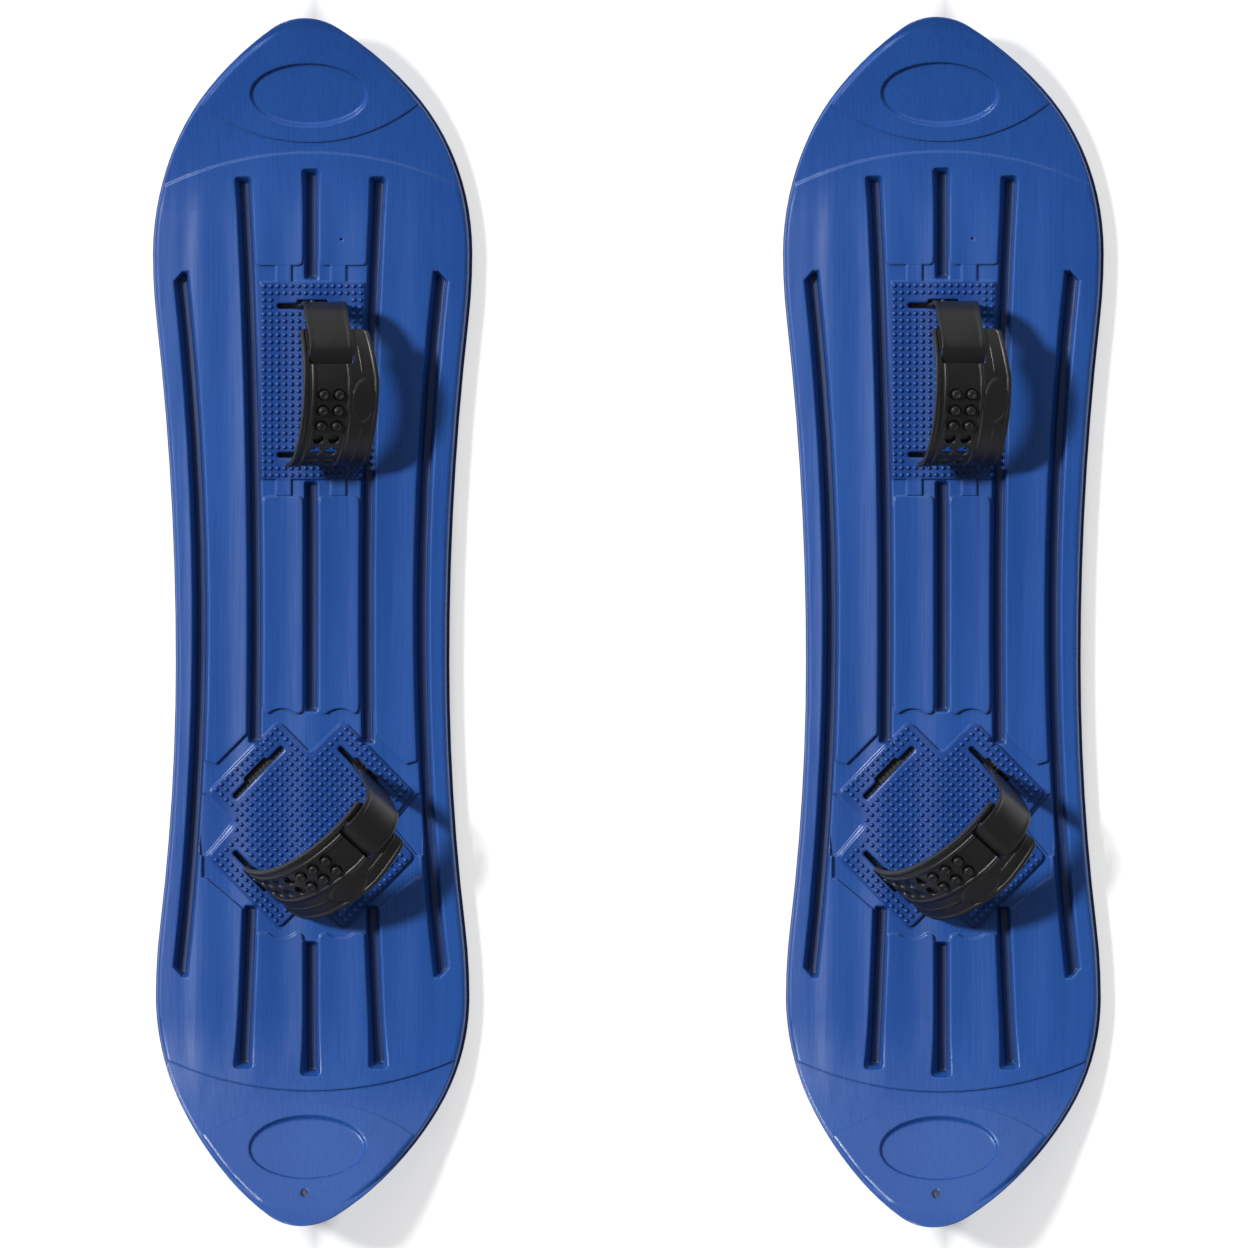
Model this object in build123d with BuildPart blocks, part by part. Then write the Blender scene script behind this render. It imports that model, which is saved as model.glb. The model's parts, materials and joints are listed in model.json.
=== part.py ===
from build123d import *
import os
from math import acos, asin, atan2, cos, degrees, radians, sin, sqrt, tan

# A pair of identical children's snowboards, blow-moulded in plastic, each with two strap hoops.
# Frame of the pair: X across the boards, +Y towards the tails, +Z up, running surfaces on z = 0,
# and the origin on the running surface midway between the boards. Each board is drawn about its
# own centre, and each hoop about the middle of its pivot axis, before they are placed.

os.makedirs("parts", exist_ok=True)

# ---------------------------------------------------------------- driving dimensions, mm
BOARD_SPACING = 496.0
DECK = 18.0
TAIL_TIP = 469.5
NOSE_TIP = -470.8
TAIL_RISE_START = 320.0
NOSE_RISE_START = -310.0
TAIL_RISE = 42.0
NOSE_RISE = 58.0
TIP_THICKNESS = 9.0
REACH = 24.0
HALF_BLOCK = 140.0
BLOCK_HEIGHT = 120.0
RIM_NODES = [
    (25.6, 461.9), (80.3, 414.0), (109.0, 368.0), (125.8, 286.5), (122.85, 234.5), (107.7, -32.0),
    (120.2, -238.0), (123.5, -292.0), (100.7, -380.0), (59.8, -435.0), (26.0, -463.0),
]

FLANGE = 1.6
FLANGE_LOW = 7.0
FLANGE_HIGH = 8.8
TOP_ROUND = 3.6
BASE_ROUND = 3.0

BASE_WALL = 2.4
DECK_WALL = 5.4
RIM_WALL = 5.0
TIP_WALL = 16.0
FEATURE_WALL = 2.3

GROOVE_HALF = 6.6
GROOVE_FLOOR_HALF = 2.7
GROOVE_DEPTH = 8.5
GROOVE_EDGE = 0.8
INNER_GROOVE_X = 43.8
INNER_GROOVE_BOW = 7.9e-5
OUTER_GROOVE_X = 87.0
OUTER_GROOVE_BOW = 2.1e-4
CENTRE_RUNS = [(352.0, 264.5), (110.5, -72.5), (-248.0, -353.5)]
INNER_RUNS = [(346.0, -97.0), (-220.0, -348.0)]
OUTER_RUN = (273.0, -278.0)

ZONE_STEP = 1.8
ZONE_ENDS = (277.3, 97.4)
ZONE_RIB = (12.0, 16.4)
ZONE_RIB_PLACES = [(-21.5, 269.0), (21.5, 269.0), (-21.5, 106.0), (21.5, 106.0)]
ZONE_LAND_LENGTH = 40.0
LAND_RADIUS = 4.0
FIELD_STEP = 2.6
FIELD_OUTLINE = [
    (0, -66), (50, -66), (50.2, -87), (74.8, -111.4), (86, -108), (86, -200), (83, -200),
    (53.2, -225), (53, -249), (0, -249),
]
FIELD_LANDS = (-42.0, -273.0)
FIELD_LAND_LENGTH = 60.0
FIELD_SCALLOPS = [(-23.0, -85.0), (23.0, -85.0), (-23.0, -230.0), (23.0, -230.0)]
SCALLOP_RADIUS = 17.0
NOTCH_STEP = 4.0
NOTCH_OUTLINE = [(63, -158.6), (83, -134.5), (88, -134.5), (88, -182.5), (83, -182.5)]
BAND_STEP = 1.3
TAIL_BAND = (365.3, 270.6, 373.0, 138.0)
NOSE_BAND = (-366.0, 281.0, -374.7, 147.0)
BAND_BLOCK = (290.0, 90.0)

OVAL_Y = 410.0
OVAL_LENGTH = 93.0
OVAL_WIDTH = 49.0
OVAL_DEPTH = 2.6
OVAL_DRAFT = 2.0

REAR_PAD_X = 1.2
REAR_PAD_Y = 187.5
REAR_PAD_WIDTH = 82.0
REAR_PAD_LENGTH = 154.0
REAR_PAD_ROUND = 2.0
FRONT_PAD_X = 0.0
FRONT_PAD_Y = -158.6
FRONT_PAD_ROUND = 5.0
FRONT_PAD_OUTLINE = [
    (0.0, 55.5), (25.6, 81.0), (81.0, 25.0), (59.5, 0.0), (81.0, -25.0), (25.6, -81.0),
    (0.0, -55.5), (-25.6, -81.0), (-81.0, -25.0), (-59.5, 0.0), (-81.0, 25.0), (-25.6, 81.0),
]

SLOT_LENGTH = 55.0
SLOT_WIDTH = 4.0
SLOT_BULGE_LENGTH = 23.0
SLOT_BULGE = 3.0
SLOT_EASE = 1.0

LEASH_HOLE_Y = -445.0
LEASH_HOLE_RADIUS = 3.0
VENT_HOLE = (24.0, 297.5)
VENT_HOLE_RADIUS = 1.0

PIVOT_Z = 12.0
HALF_SPAN = 58.0
ANCHOR_RADIUS = 4.0
ANCHOR_LENGTH = 16.0
ANCHOR_GAP = 0.08
FRONT_SPAN_ANGLE = 44.5
REAR_LEAN = 24.0
FRONT_LEAN = 33.0

# Each hoop's line in its own upright view: the crown arc's centre across and up, its radius, then
# how far the wide and the narrow leg stand outside their slots and the arcs that join the crown.
REAR_LINE = (0.0, 6.0, 74.6, (7.57, 36.0), (1.5, 26.0))
FRONT_LINE = (20.8, 1.6, 87.8, (0.0, 72.1), (1.5, 24.0))

BAND = 3.0
NARROW_BAND = 2.6
LAP_OFFSET = 3.15
ROOT_BOTTOM = -5.0
ROOT_TOP = 15.5
ROOT_RADIUS = 7.0
BULGE_RADIUS = 12.0
WIDE_HALF = 30.5
WIDE_LEFT_EDGE = [(8, -5), (14, 0), (18, 6), (18, 18.5), (30.5, 25.5), (30.5, 110)]
WIDE_RIGHT_EDGE = [(8, -5), (14, 0), (18, 6), (18.3, 18), (25.5, 30), (30.5, 45), (30.5, 110)]
WIDE_END_RIGHT = 24.5
WIDE_END_TAPER = 38.0
WIDE_END_CORNERS = (1.5, 4.0)
NARROW_HALF = 17.5
NARROW_LEG_EDGE = [(8, -5), (14, 0), (15, 6), (15, 20)]
NARROW_DRIFT = [(-3.9, 45), (-7.9, 65), (-7.9, 110)]
HOLE_RADIUS = 4.4
PEG_RADIUS = 3.95
PEG_HEIGHT = 7.3
PEG_ROUND = 2.8
COLUMN_OFFSET = -7.9
COLUMN_PITCH = 12.5
HOLE_ROWS = 7
PEG_ROWS = 3

# Lengths along the wide strap's line, from its root on the pivot axis.
FIRST_ROW = 112.0
ROW_PITCH = 12.6
LAP_SLOT = 141.5
WIDE_END = 164.3
NARROW_END = 69.0
LAP_SLOT_LENGTH = 12.0
LAP_SLOT_HALF = 18.2
LAP_RUN = 7.0

PLUG_TOP = 13.8
PLUG_BOTTOM = 3.0
PLUG_GAP = 0.3
PLUG_RIBS = 13
PLUG_RIB_PITCH = 4.0
PLUG_RIB_GAP = (1.4, 30.0, 1.6)

BASE_GROOVE_X = 60.0
BASE_GROOVE_WIDTH = 8.0
BASE_GROOVE_DEPTH = 1.0
BASE_GROOVE_LENGTH = 560.0


# ---------------------------------------------------------------- rises of nose and tail
def rise_radius(run, rise):
    """Radius of an arc that leaves the level tangentially and climbs by rise over run."""
    return (run * run + rise * rise) / (2 * rise)


TAIL_RUN = TAIL_TIP - TAIL_RISE_START
NOSE_RUN = NOSE_RISE_START - NOSE_TIP
BASE_TAIL_RADIUS = rise_radius(TAIL_RUN, TAIL_RISE)
BASE_NOSE_RADIUS = rise_radius(NOSE_RUN, NOSE_RISE)
DECK_TAIL_RADIUS = rise_radius(TAIL_RUN, TAIL_RISE + TIP_THICKNESS - DECK)
DECK_NOSE_RADIUS = rise_radius(NOSE_RUN, NOSE_RISE + TIP_THICKNESS - DECK)


def surface(height, nose_radius, tail_radius, reach):
    """Six points of a side line: nose end, nose arc, nose start, tail start, tail arc, tail end."""
    points = []
    for start, run, radius in (
        (NOSE_RISE_START, -(NOSE_RUN + reach), nose_radius),
        (TAIL_RISE_START, TAIL_RUN + reach, tail_radius),
    ):
        arc = []
        for share in (1.0, 0.5, 0.0):
            angle = asin(share * run / radius)
            arc.append((start + radius * sin(angle), height + radius * (1 - cos(angle))))
        points.append(arc)
    return points[0] + points[1][::-1]


def base_surface(inset=0.0, reach=REACH):
    """Side line of the running surface, moved up into the board by inset."""
    return surface(inset, BASE_NOSE_RADIUS - inset, BASE_TAIL_RADIUS - inset, reach)


def deck_surface(inset=0.0, reach=REACH):
    """Side line of the deck, moved down into the board by inset."""
    return surface(DECK - inset, DECK_NOSE_RADIUS + inset, DECK_TAIL_RADIUS + inset, reach)


def side_layer(lower, upper):
    """Side view of the layer between two side lines, on the plane x = 0."""
    with BuildSketch(Plane.YZ) as layer:
        with BuildLine():
            for line in (lower, upper):
                ThreePointArc(line[0], line[1], line[2])
                Line(line[2], line[3])
                ThreePointArc(line[3], line[4], line[5])
            Line(lower[0], upper[0])
            Line(lower[5], upper[5])
        make_face()
    return layer.sketch


def outline(inset=0.0):
    """The board's outline on the plane z = 0: tangent arcs from tip to tip, mirrored, then inset."""
    with BuildSketch() as plan:
        with BuildLine():
            arc = TangentArc((0, TAIL_TIP), RIM_NODES[0], tangent=(1, 0))
            for node in RIM_NODES[1:]:
                arc = TangentArc(arc @ 1, node, tangent=arc % 1)
            heading = arc % 1
            half_turn = 0.5 * atan2(-heading.Y, -heading.X)
            last = RIM_NODES[-1]
            TangentArc(arc @ 1, (0, last[1] - last[0] * tan(half_turn)), tangent=heading)
            mirror(about=Plane.YZ)
        make_face()
        if inset:
            offset(amount=-inset, mode=Mode.REPLACE)
    return plan.sketch


# ---------------------------------------------------------------- grooves
def groove_centre(y, x, bow):
    return x + bow * y * y


def groove_section(height, half, x, bow, high, low, chamfered, sign):
    """One level of a groove, as a sketch on the plane at height."""
    middle = 0.5 * (high + low)
    with BuildSketch(Plane.XY.offset(height)) as level:
        with BuildLine():
            sides = []
            for edge in (-half, half):
                ends = [(sign * (groove_centre(y, x, bow) + edge), y) for y in (high, middle, low)]
                sides.append(ends)
                if bow:
                    ThreePointArc(*ends)
                else:
                    Line(ends[0], ends[2])
            Line(sides[0][0], sides[1][0])
            Line(sides[0][2], sides[1][2])
        make_face()
        if chamfered:
            outer = [v for v in level.vertices() if abs(v.X) > groove_centre(v.Y, x, bow)]
            chamfer(outer, length=1.25 * half)
        else:
            fillet(level.vertices(), radius=0.45 * half)
    return level.sketch


def groove(x, bow, high, low, chamfered=False, grow=0.0):
    """Loft a drafted groove with eased upper edges; grow makes it the block that walls it in."""
    levels = [
        (DECK - GROOVE_DEPTH - grow, GROOVE_FLOOR_HALF, 4.0),
        (DECK - GROOVE_EDGE, GROOVE_HALF - 0.5, 0.5),
        (DECK, GROOVE_HALF + 0.2, -0.2),
        (DECK + 6.0, GROOVE_HALF + 2.6, -2.0),
    ]
    for sign in (-1, 1) if x else (1,):
        sections = []
        for height, half, inset in levels:
            inset -= grow
            sections.append(
                groove_section(height, half + grow, x, bow, high - inset, low + inset, chamfered, sign)
            )
        loft(sections, ruled=True, mode=Mode.SUBTRACT)


def all_grooves(grow=0.0):
    for high, low in CENTRE_RUNS:
        groove(0.0, 0.0, high, low, grow=grow)
    for high, low in INNER_RUNS:
        groove(INNER_GROOVE_X, INNER_GROOVE_BOW, high, low, grow=grow)
    groove(OUTER_GROOVE_X, OUTER_GROOVE_BOW, *OUTER_RUN, chamfered=True, grow=grow)


# ---------------------------------------------------------------- shapes moulded into the deck
def above_deck(depth):
    """A block of everything above the deck lowered by depth."""
    with BuildPart() as block:
        extrude(side_layer(deck_surface(depth), deck_surface(-DECK)), amount=HALF_BLOCK, both=True)
    return block.part


def land_end(y, length):
    """Sketch of an inner land's rounded end at y, from the centre groove's edge to the inner one's."""
    outer = groove_centre(y, INNER_GROOVE_X, INNER_GROOVE_BOW) - GROOVE_HALF
    middle = 0.5 * (outer + GROOVE_HALF)
    with BuildSketch(Plane.XY.offset(DECK - FIELD_STEP)) as land:
        with Locations((-middle, y), (middle, y)):
            RectangleRounded(outer - GROOVE_HALF, length, radius=LAND_RADIUS)
    return land.sketch


def rear_zone():
    """Block that lowers the zone round the rear pad, which stays up with four short ribs."""
    top, bottom = ZONE_ENDS
    with BuildPart() as zone:
        with BuildSketch(Plane.XY.offset(DECK - ZONE_STEP)):
            with Locations((0, 0.5 * (top + bottom))):
                Rectangle(2 * (INNER_GROOVE_X + GROOVE_HALF), top - bottom + 2 * GROOVE_HALF)
            with Locations((REAR_PAD_X, REAR_PAD_Y)):
                RectangleRounded(REAR_PAD_WIDTH, REAR_PAD_LENGTH, REAR_PAD_ROUND, mode=Mode.SUBTRACT)
            with Locations(*ZONE_RIB_PLACES):
                Rectangle(*ZONE_RIB, mode=Mode.SUBTRACT)
        extrude(amount=DECK)
        for y in (top + 0.5 * ZONE_LAND_LENGTH, bottom - 0.5 * ZONE_LAND_LENGTH):
            extrude(land_end(y, ZONE_LAND_LENGTH), amount=2 * DECK, mode=Mode.SUBTRACT)
    return zone.part


def front_pad():
    """The front pad's eight-pointed outline, with rounded points and notches."""
    with BuildSketch(Plane((FRONT_PAD_X, FRONT_PAD_Y, DECK - FIELD_STEP))) as pad:
        with BuildLine():
            Polyline(*FRONT_PAD_OUTLINE, close=True)
        make_face()
        fillet(pad.vertices(), radius=FRONT_PAD_ROUND)
    return pad.sketch


def front_field():
    """Block that lowers the field round the front pad, between the scalloped ends of the lands."""
    with BuildSketch(Plane.XY.offset(DECK - FIELD_STEP)) as ends:
        for y in FIELD_LANDS:
            add(land_end(y, FIELD_LAND_LENGTH))
        with Locations(*FIELD_SCALLOPS):
            Circle(SCALLOP_RADIUS, mode=Mode.SUBTRACT)
    with BuildPart() as field:
        with BuildSketch(Plane.XY.offset(DECK - FIELD_STEP)):
            with BuildLine():
                Polyline(*FIELD_OUTLINE)
                mirror(about=Plane.YZ)
            make_face()
        extrude(amount=DECK)
        extrude(ends.sketch, amount=DECK, mode=Mode.SUBTRACT)
        extrude(front_pad(), amount=DECK, mode=Mode.SUBTRACT)
    return field.part


def side_notches():
    """Blocks for the deeper pockets between the front pad's side notches and the outer grooves."""
    with BuildPart() as notches:
        with BuildSketch(Plane.XY.offset(DECK - NOTCH_STEP)):
            with BuildLine():
                Polyline(*NOTCH_OUTLINE, close=True)
            make_face()
            mirror(about=Plane.YZ)
        extrude(amount=DECK)
    return notches.part


def tip_band(deck_middle, deck_radius, tip_middle, tip_radius):
    """Shallow band across a tip, between the deck's curved end and the tip's raised plateau."""
    outward = 1 if tip_middle > 0 else -1
    with BuildSketch() as plan:
        with Locations((0, tip_middle)):
            Rectangle(*BAND_BLOCK)
        with Locations((0, deck_middle - outward * deck_radius)):
            Circle(deck_radius, mode=Mode.SUBTRACT)
        with Locations((0, tip_middle + outward * tip_radius)):
            Circle(tip_radius, mode=Mode.SUBTRACT)
    with BuildPart() as band:
        extrude(plan.sketch, amount=BLOCK_HEIGHT)
        add(above_deck(BAND_STEP), mode=Mode.INTERSECT)
    return band.part


def tip_plane(y):
    """Plane that touches the deck's rise at y, facing away from the board."""
    if y > 0:
        start, radius = TAIL_RISE_START, DECK_TAIL_RADIUS
    else:
        start, radius = NOSE_RISE_START, DECK_NOSE_RADIUS
    tilt = asin((y - start) / radius)
    height = DECK + radius * (1 - cos(tilt))
    return Plane(origin=(0, y, height), x_dir=(1, 0, 0), z_dir=(0, -sin(tilt), cos(tilt))), tilt


def oval(y, grow=0.0):
    """Drafted oval recess on a tip; grow makes it the block that walls it in."""
    plane, tilt = tip_plane(y)
    half_length = 0.5 * OVAL_LENGTH + grow
    half_width = 0.5 * OVAL_WIDTH / cos(tilt) + grow
    sections = []
    for level, widen in ((-OVAL_DEPTH - grow, -OVAL_DRAFT), (0.0, 0.0), (8.0, 0.5 * OVAL_DRAFT)):
        with BuildSketch(plane.offset(level)) as section:
            Ellipse(half_length + widen, half_width + widen)
        sections.append(section.sketch)
    loft(sections, ruled=True, mode=Mode.SUBTRACT)


# ---------------------------------------------------------------- strap slots
def slot_frames():
    """Frames of the six strap slots: x along the slot, +y away from the middle of its hoop."""
    frames = []
    turn = FRONT_SPAN_ANGLE
    for pad_x, pad_y, span_angles in (
        (REAR_PAD_X, REAR_PAD_Y, (90.0, -90.0)),
        (FRONT_PAD_X, FRONT_PAD_Y, (turn, 180.0 + turn, 180.0 - turn, -turn)),
    ):
        for angle in span_angles:
            x = pad_x + HALF_SPAN * cos(radians(angle))
            y = pad_y + HALF_SPAN * sin(radians(angle))
            frames.append(Location((x, y, 0), (0, 0, angle - 90.0)))
    return frames


def slot_outline(plane, gap=0.0):
    """A slot's outline in its own frame: a long slot, wider on its outer side in the middle."""
    with BuildSketch(plane) as shape:
        SlotOverall(SLOT_LENGTH - 2 * gap, SLOT_WIDTH - 2 * gap)
        with BuildLine():
            reach = 0.5 * SLOT_WIDTH + SLOT_BULGE - gap
            half = 0.5 * SLOT_BULGE_LENGTH - gap
            Polyline((-half - 2, 0), (-half, reach), (half, reach), (half + 2, 0), close=True)
        make_face()
    return shape.sketch


def strap_slot():
    """Cutter for one strap slot with the anchor's seat, in the slot's own frame."""
    with BuildPart() as cutter:
        extrude(slot_outline(Plane.XY.offset(-1)), amount=DECK + 6)
        eased = []
        for height, ease in ((DECK - SLOT_EASE, 0.0), (DECK, SLOT_EASE), (DECK + 5, SLOT_EASE)):
            with BuildSketch(Plane.XY.offset(height)) as level:
                SlotOverall(SLOT_LENGTH + 2 * ease, SLOT_WIDTH + 2 * ease)
            eased.append(level.sketch)
        loft(eased, ruled=True)
        with BuildSketch(Plane.XY.offset(-1)):
            Rectangle(2 * (ANCHOR_RADIUS + ANCHOR_GAP), ANCHOR_LENGTH + 0.6)
        extrude(amount=PIVOT_Z + 1)
        with Locations((0, 0, PIVOT_Z)):
            Cylinder(ANCHOR_RADIUS + ANCHOR_GAP, ANCHOR_LENGTH + 0.6, rotation=(90, 0, 0))
    return cutter.part


# ---------------------------------------------------------------- board
def cavity():
    """The hollow inside a blow-moulded board, kept clear of everything moulded into it."""
    with BuildPart() as hollow:
        layer = side_layer(base_surface(BASE_WALL, -TIP_WALL), deck_surface(DECK_WALL, -TIP_WALL))
        extrude(layer, amount=HALF_BLOCK, both=True)
        extrude(outline(inset=FLANGE + RIM_WALL), amount=BLOCK_HEIGHT, mode=Mode.INTERSECT)
        all_grooves(grow=FEATURE_WALL)
        oval(OVAL_Y, grow=FEATURE_WALL)
        oval(-OVAL_Y, grow=FEATURE_WALL)
        with BuildSketch() as solid_spots:
            with Locations(*slot_frames()):
                RectangleRounded(SLOT_LENGTH + 6, ANCHOR_LENGTH + 6, radius=3)
            with Locations((0, LEASH_HOLE_Y)):
                Circle(LEASH_HOLE_RADIUS + FEATURE_WALL)
        extrude(solid_spots.sketch, amount=BLOCK_HEIGHT, mode=Mode.SUBTRACT)
    return hollow.part


def flange():
    """Thin parting flange all round the rim."""
    with BuildPart() as rim:
        extrude(side_layer(base_surface(FLANGE_LOW), base_surface(FLANGE_HIGH)), amount=HALF_BLOCK, both=True)
        extrude(outline(), amount=BLOCK_HEIGHT, mode=Mode.INTERSECT)
    return rim.part


with BuildPart() as board:
    extrude(side_layer(base_surface(), deck_surface()), amount=HALF_BLOCK, both=True)
    extrude(outline(inset=FLANGE), amount=BLOCK_HEIGHT, mode=Mode.INTERSECT)
    deck_faces = board.faces().filter_by(lambda face: face.normal_at(face.center()).Z > 0.5)
    base_faces = board.faces().filter_by(lambda face: face.normal_at(face.center()).Z < -0.5)
    for faces, radius in ((deck_faces, TOP_ROUND), (base_faces, BASE_ROUND)):
        edges = [e for e in faces.edges() if abs(e.center().X) > 1 or e.geom_type != GeomType.LINE]
        fillet(edges, radius=radius)
    add(flange())
    all_grooves()
    add(rear_zone(), mode=Mode.SUBTRACT)
    add(front_field(), mode=Mode.SUBTRACT)
    add(side_notches(), mode=Mode.SUBTRACT)
    add(tip_band(*TAIL_BAND), mode=Mode.SUBTRACT)
    add(tip_band(*NOSE_BAND), mode=Mode.SUBTRACT)
    oval(OVAL_Y)
    oval(-OVAL_Y)
    slot_cutter = strap_slot()
    for frame in slot_frames():
        add(slot_cutter.moved(frame), mode=Mode.SUBTRACT)
    with Locations((0, LEASH_HOLE_Y, 0)):
        Cylinder(LEASH_HOLE_RADIUS, BLOCK_HEIGHT * 2, mode=Mode.SUBTRACT)
    add(cavity(), mode=Mode.SUBTRACT)
    with Locations((*VENT_HOLE, DECK)):
        Cylinder(VENT_HOLE_RADIUS, 2 * DECK_WALL + 2, mode=Mode.SUBTRACT)
    with Locations((-BASE_GROOVE_X, 0, 0), (BASE_GROOVE_X, 0, 0)):
        Box(BASE_GROOVE_WIDTH, BASE_GROOVE_LENGTH, 2 * BASE_GROOVE_DEPTH, mode=Mode.SUBTRACT)


# ---------------------------------------------------------------- strap hoops
# A hoop is drawn upright: x is its width, y its span from the wide strap's slot to the narrow
# strap's, z its height, and the origin is the middle of the pivot axis through both anchors.
def side_arc(line, side, lift=0.0):
    """Centre, radius and turn of the arc between a leg and the crown; side is -1 for the wide leg."""
    crown_y, crown_z, crown_radius, wide_leg, narrow_leg = line
    outward, radius = wide_leg if side < 0 else narrow_leg
    across = HALF_SPAN + outward - radius - side * crown_y
    up = sqrt((crown_radius + lift - radius) ** 2 - across * across)
    return side * across + crown_y, crown_z + up, radius, degrees(atan2(up, across))


def root_turn(line, side):
    """How far a leg turns outwards and back above its root."""
    outward = line[3][0] if side < 0 else line[4][0]
    return acos(1 - outward / (ROOT_RADIUS + BULGE_RADIUS))


def crown_start(line):
    """Length along the wide strap's line at which its side arc begins, and at which its crown does."""
    centre_y, centre_z, radius, turn = side_arc(line, -1)
    bend = root_turn(line, -1)
    start = centre_z + (ROOT_RADIUS + BULGE_RADIUS) * (bend - sin(bend))
    return start, start + radius * radians(turn)


def hoop_frame(line, length, lift=0.0):
    """Place and angle on the wide strap's line, at a length from its root; lift is outward."""
    centre_y, centre_z, radius, turn = side_arc(line, -1)
    side_start, top_start = crown_start(line)
    angle = radians(180) - (length - side_start) / radius
    if length > top_start:
        centre_y, centre_z, radius = line[:3]
        angle = radians(180 - turn) - (length - top_start) / radius
    y = centre_y + (radius + lift) * cos(angle)
    z = centre_z + (radius + lift) * sin(angle)
    return Location((0, y, z), (degrees(angle) - 90, 0, 0))


def leg(line, side, lift=0.0):
    """Centre line from the anchor up to the crown arc's start, on the side given."""
    centre_y, centre_z, radius, turn = side_arc(line, side, lift)
    bend = degrees(root_turn(line, side))
    rise = Line((side * HALF_SPAN, ROOT_BOTTOM), (side * HALF_SPAN, ROOT_TOP))
    if bend:
        away = JernArc(rise @ 1, rise % 1, ROOT_RADIUS, -side * bend)
        rise = JernArc(away @ 1, away % 1, BULGE_RADIUS, side * bend)
    straight = Line(rise @ 1, ((rise @ 1).X, centre_z))
    return JernArc(straight @ 1, straight % 1, radius, side * turn)


def wide_side_view(line):
    narrow_radius = line[4][1] - LAP_OFFSET
    top = 180 - side_arc(line, -1)[3] - side_arc(line, 1, LAP_OFFSET)[3]
    turn = degrees((WIDE_END - crown_start(line)[1]) / line[2])
    with BuildSketch(Plane.YZ) as side_view:
        with BuildLine():
            rise = leg(line, -1)
            over = JernArc(rise @ 1, rise % 1, line[2], -min(turn, top))
            if turn > top:
                JernArc(over @ 1, over % 1, narrow_radius, -(turn - top) * line[2] / narrow_radius)
        trace(line_width=BAND)
    return side_view.sketch


def narrow_side_view(line):
    crown_y, crown_z, radius = line[:3]
    side_radius = line[3][1]
    side_turn = side_arc(line, -1)[3]
    top_start = crown_start(line)[1]
    high = side_turn + degrees((LAP_SLOT + LAP_RUN - top_start) / radius)
    low = side_turn + degrees((LAP_SLOT - LAP_RUN - top_start) / radius)
    inner = radius - LAP_OFFSET
    under = (crown_y - inner * cos(radians(low)), crown_z + inner * sin(radians(low)))
    below = degrees((LAP_SLOT - LAP_RUN - max(top_start, NARROW_END)) / radius)
    with BuildSketch(Plane.YZ) as side_view:
        with BuildLine():
            rise = leg(line, 1, LAP_OFFSET)
            turn = 180 - high - side_arc(line, 1, LAP_OFFSET)[3]
            over = JernArc(rise @ 1, rise % 1, radius + LAP_OFFSET, turn)
            heading = (-sin(radians(low)), -cos(radians(low)))
            dive = Spline(over @ 1, under, tangents=[over % 1, heading])
            along = JernArc(dive @ 1, dive % 1, inner, below)
            if NARROW_END < top_start:
                rest = degrees((top_start - NARROW_END) / side_radius)
                JernArc(along @ 1, along % 1, side_radius - LAP_OFFSET, rest)
        trace(line_width=NARROW_BAND)
    return side_view.sketch


def front_view(left_edge, right_edge):
    """Width of a strap against height, from two edges that run upwards from the root."""
    with BuildSketch(Plane.XZ) as view:
        with BuildLine():
            Polyline(*right_edge, *[(-x, z) for x, z in reversed(left_edge)], close=True)
        make_face()
    return view.sketch


def make_wide_strap(line):
    """Wide strap of a hoop, with its peg holes and the slot that the narrow strap dives through."""
    end = hoop_frame(line, WIDE_END).position.Y
    with BuildSketch() as plan:
        with BuildLine():
            Polyline(
                (WIDE_HALF, -BLOCK_HEIGHT), (WIDE_HALF, end - WIDE_END_TAPER), (WIDE_END_RIGHT, end),
                (WIDE_END_RIGHT, end + BAND), (-WIDE_HALF, end + BAND), (-WIDE_HALF, -BLOCK_HEIGHT),
                close=True,
            )
        make_face()
    with BuildPart() as strap:
        extrude(wide_side_view(line), amount=WIDE_HALF + 5, both=True)
        view = front_view(WIDE_LEFT_EDGE, WIDE_RIGHT_EDGE)
        extrude(view, amount=HALF_BLOCK, both=True, mode=Mode.INTERSECT)
        extrude(plan.sketch, amount=HALF_BLOCK, both=True, mode=Mode.INTERSECT)
        corners = strap.edges().filter_by(lambda edge: abs(edge.length - BAND) < 0.02)
        corners = corners.group_by(Axis.Y)[-1].sort_by(Axis.X)
        for corner, radius in zip(corners, WIDE_END_CORNERS):
            fillet(corner, radius=radius)
        with Locations((0, -HALF_SPAN, 0)):
            Cylinder(ANCHOR_RADIUS, ANCHOR_LENGTH, rotation=(90, 0, 0))
        with Locations(hoop_frame(line, LAP_SLOT) * Location((COLUMN_OFFSET, 0, 0))):
            Box(2 * LAP_SLOT_HALF, LAP_SLOT_LENGTH, 4 * BAND, mode=Mode.SUBTRACT)
        for row in range(HOLE_ROWS):
            for column in (-0.5, 0.5):
                x = COLUMN_OFFSET + column * COLUMN_PITCH
                with Locations(hoop_frame(line, FIRST_ROW - row * ROW_PITCH) * Location((x, 0, 0))):
                    Cylinder(HOLE_RADIUS, 4 * BAND, mode=Mode.SUBTRACT)
    return strap.part


with BuildPart() as peg:
    Cylinder(PEG_RADIUS, PEG_HEIGHT, align=(Align.CENTER, Align.CENTER, Align.MIN))
    fillet(peg.edges().group_by(Axis.Z)[-1], radius=PEG_ROUND)


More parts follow.
